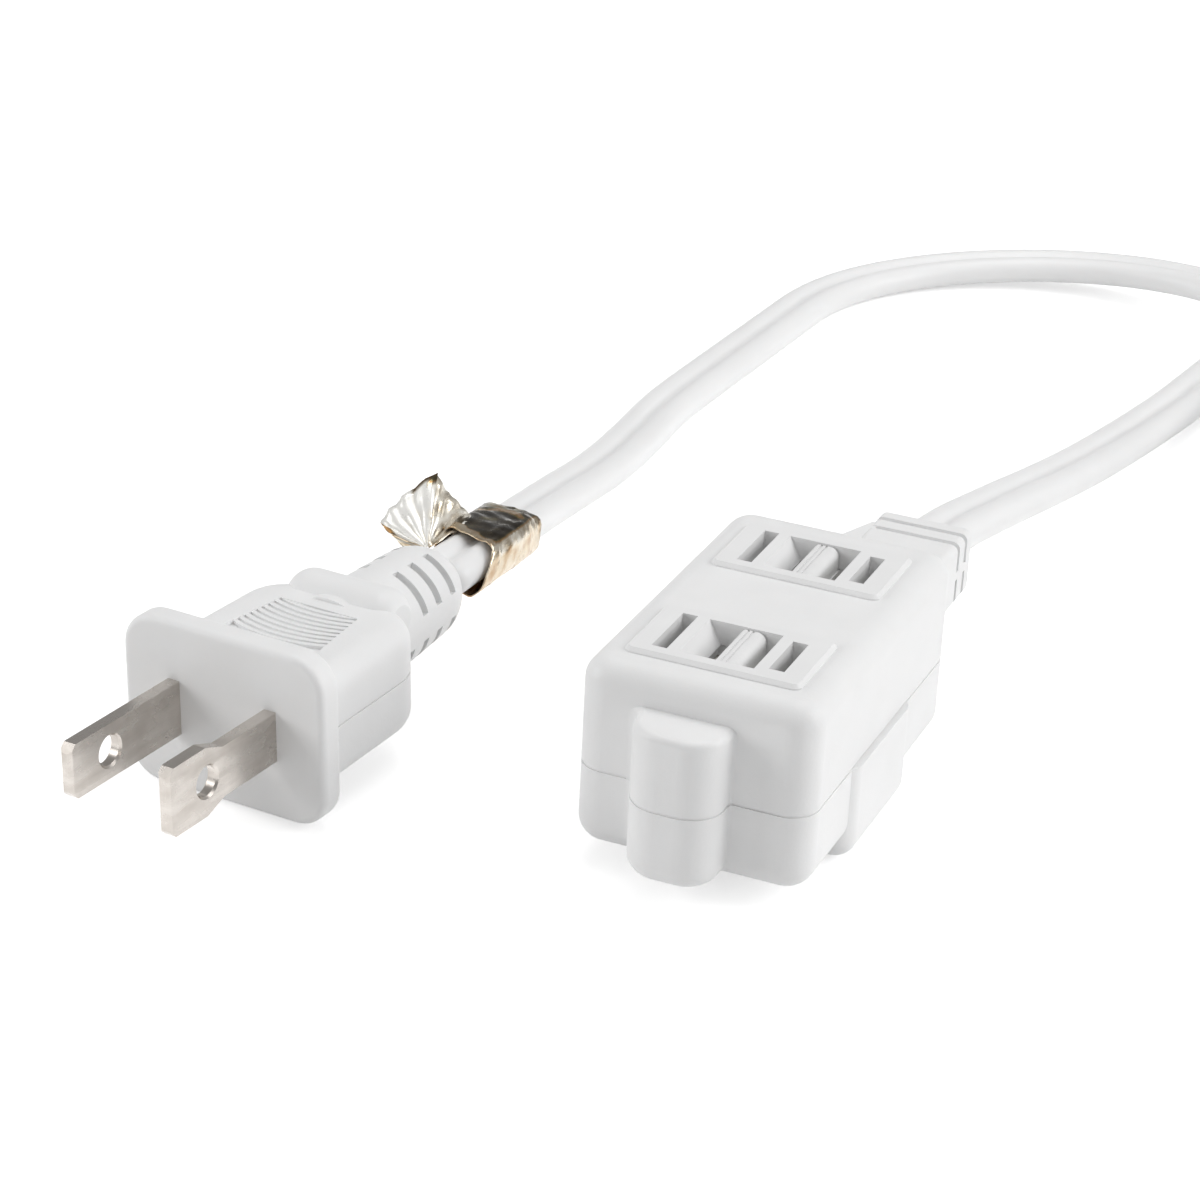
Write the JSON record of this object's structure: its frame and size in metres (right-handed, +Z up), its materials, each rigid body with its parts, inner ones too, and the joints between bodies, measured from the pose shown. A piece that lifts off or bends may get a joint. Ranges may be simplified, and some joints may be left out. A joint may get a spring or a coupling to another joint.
{
  "type": "extension cord",
  "caption": "Indoor extension cord: moulded outlet block with sliding slot covers, flat two-wire cord and flat polarised plug.",
  "frame": {"origin": "middle of the outlet block's outline, pull bump and collar included, on the surface that it rests on", "axes": "+X across the block from its neutral side to its hot side, +Y along the block towards the end that the cord leaves, +Z up out of the two upper outlets"},
  "size_m": [0.1722, 0.2333, 0.0246],
  "materials": {
    "white_plastic": "soft satin moulded vinyl",
    "cream_plastic": "plain moulded nylon",
    "carrier_plastic": "satin moulded nylon",
    "inner_lead": "smooth vinyl insulation",
    "cord_jacket": "smooth soft vinyl",
    "tie_plastic": "plain plastic tie",
    "nickel": "nickel-plated brass",
    "brass": "stamped brass",
    "copper": "bare stranded copper",
    "gold_foil": "thin metallised foil, no print"
  },
  "bodies": {
    "cord_set": {"plug_body": "white_plastic", "plug_bridge": "cream_plastic", "hot_blade": "nickel", "neutral_blade": "nickel", "plug_hot_lead": "inner_lead", "plug_neutral_lead": "inner_lead", "plug_hot_strands": "copper", "plug_neutral_strands": "copper", "tap_body": "white_plastic", "carrier_top": "carrier_plastic", "carrier_bottom": "carrier_plastic", "guide_plate_top": "cream_plastic", "guide_plate_bottom": "cream_plastic", "hot_contact_strip": "brass", "neutral_contact_strip": "brass", "tap_hot_lead": "inner_lead", "tap_neutral_lead": "inner_lead", "tap_hot_strands": "copper", "tap_neutral_strands": "copper", "cord_plug_run": "cord_jacket", "cord_tap_run": "cord_jacket", "cord_coil": "cord_jacket", "coil_tie": "tie_plastic", "wrap_label": "gold_foil"},
    "front_cover": {"slider_front": "carrier_plastic"},
    "rear_cover": {"slider_rear": "carrier_plastic"},
    "under_cover": {"slider_under": "carrier_plastic"}
  },
  "joints": [
    {"name": "front_cover_slide", "type": "slide", "parent": "cord_set", "child": "front_cover", "axis": [1, 0, 0], "range_m": [-0.00215, 0]},
    {"name": "rear_cover_slide", "type": "slide", "parent": "cord_set", "child": "rear_cover", "axis": [1, 0, 0], "range_m": [-0.00145, 0.0007]},
    {"name": "under_cover_slide", "type": "slide", "parent": "cord_set", "child": "under_cover", "axis": [1, 0, 0], "range_m": [0, 0.00215]}
  ]
}
